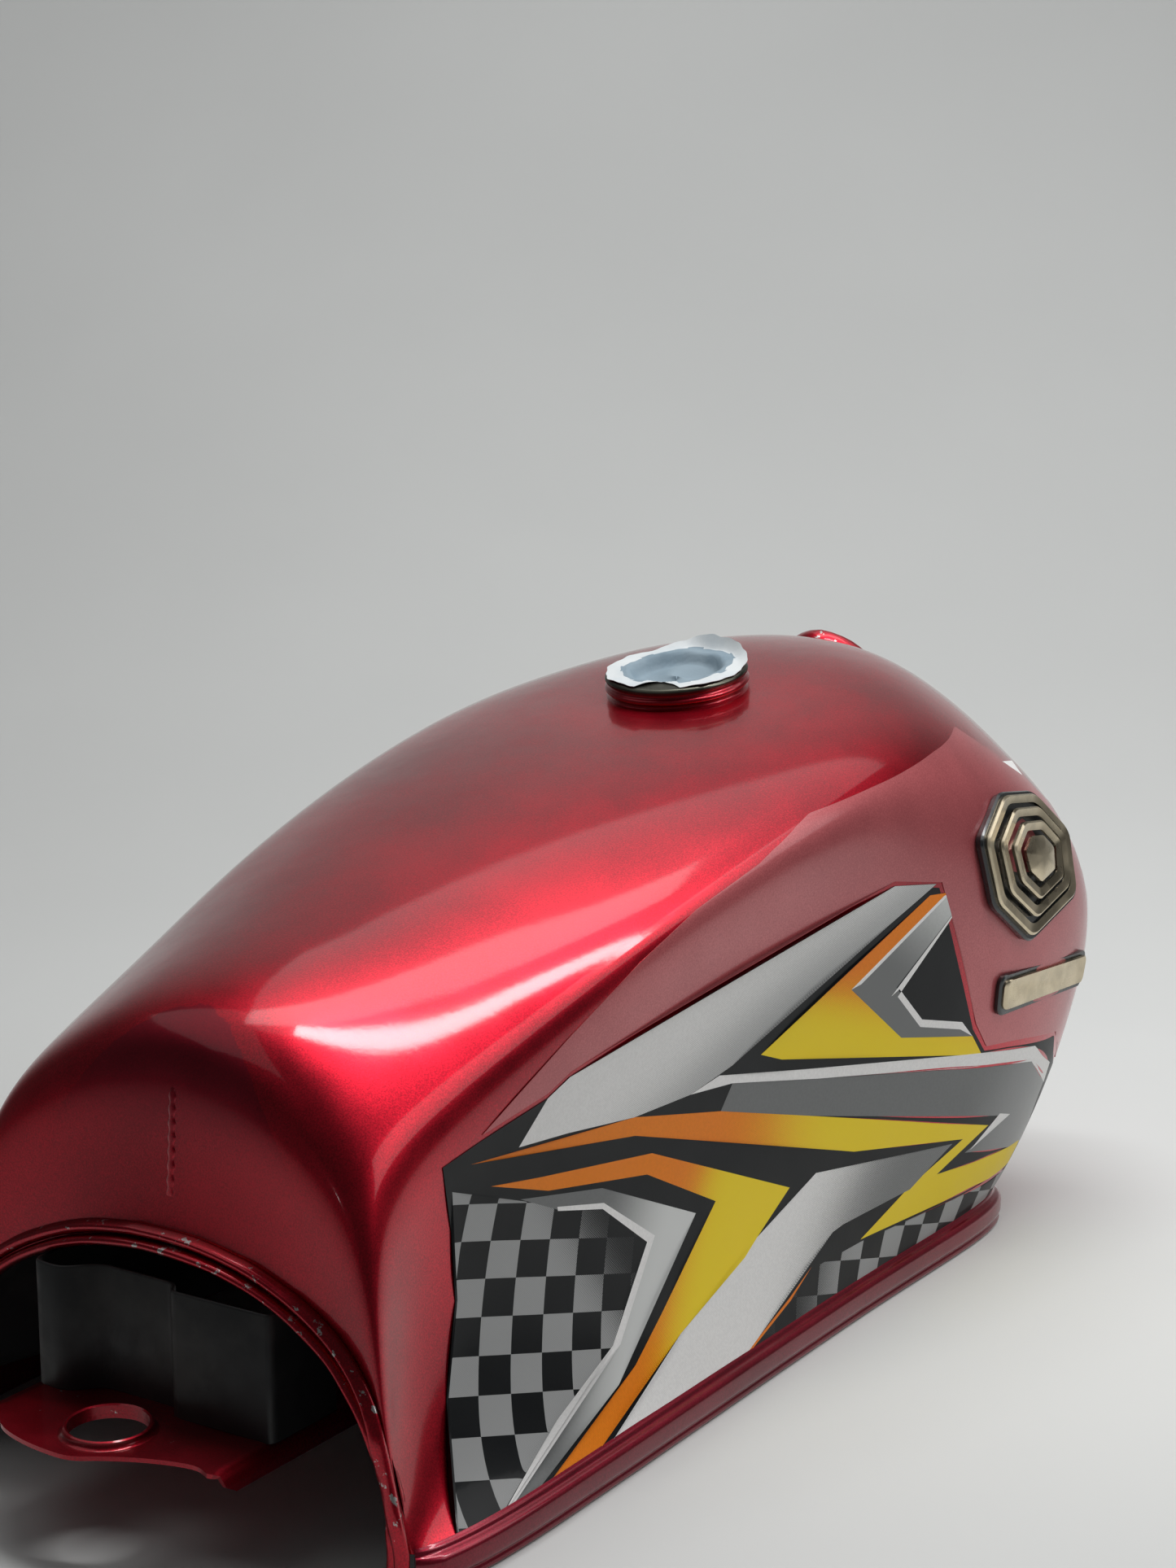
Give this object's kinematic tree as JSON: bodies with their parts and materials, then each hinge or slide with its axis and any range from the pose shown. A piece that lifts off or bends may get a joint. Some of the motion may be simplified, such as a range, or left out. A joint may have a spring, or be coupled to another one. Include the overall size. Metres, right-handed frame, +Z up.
{
  "type": "motorcycle fuel tank",
  "caption": "Painted steel fuel tank for a motorcycle, with a frame tunnel, filler neck, striped side decals, blank badges and mounts front and rear.",
  "frame": {"origin": "middle of the tank's footprint, on the plane that its bottom seam rests on", "axes": "+X forwards, towards the steering head; +Y to the tank's left, the petcock side; +Z up through the filler"},
  "size_m": [0.5487, 0.2824, 0.2556],
  "materials": {
    "candy_red": "glossy candy red under clear coat",
    "seam_red": "darker red paint over a rolled seam",
    "primer_black": "satin black primer",
    "neck_red": "glossy red paint",
    "rim_dark": "darkened plated steel",
    "zinc": "zinc plated, dull",
    "paper": "matt torn paper",
    "spigot_brass": "dull machined brass",
    "vinyl_print": "printed vinyl under clear coat",
    "clear_film": "clear film over the red paint",
    "badge_adhesive": "foam tape",
    "badge_black": "gloss black",
    "badge_gold": "champagne gold, satin"
  },
  "bodies": {
    "tank": {"skin_left": "candy_red", "skin_right": "candy_red", "tail_weld": "candy_red", "tunnel_pan": "primer_black", "seam_roll_left": "seam_red", "seam_roll_right": "seam_red", "rear_arch_flange": "candy_red", "front_arch_flange": "candy_red", "rear_stay": "primer_black", "rear_mount_plate": "neck_red", "front_channel_left": "primer_black", "front_channel_right": "primer_black", "filler_neck": "neck_red", "filler_rim": "rim_dark", "filler_cam_ring": "zinc", "petcock_spigot": "spigot_brass", "decal_left": "vinyl_print", "decal_right": "vinyl_print", "clear_film_left": "clear_film", "clear_film_right": "clear_film", "badge_pad_left": "badge_adhesive", "badge_pad_right": "badge_adhesive", "badge_base_left": "badge_black", "badge_base_right": "badge_black", "badge_face_left": "badge_gold", "badge_face_right": "badge_gold", "badge_bar_left": "badge_gold", "badge_bar_right": "badge_gold"},
    "seal": {"paper_seal": "paper"}
  },
  "joints": [
    {"name": "seal_lift", "type": "slide", "parent": "tank", "child": "seal", "axis": [-0.1564, 0, 0.9877], "range_m": [0, 0.04]}
  ]
}
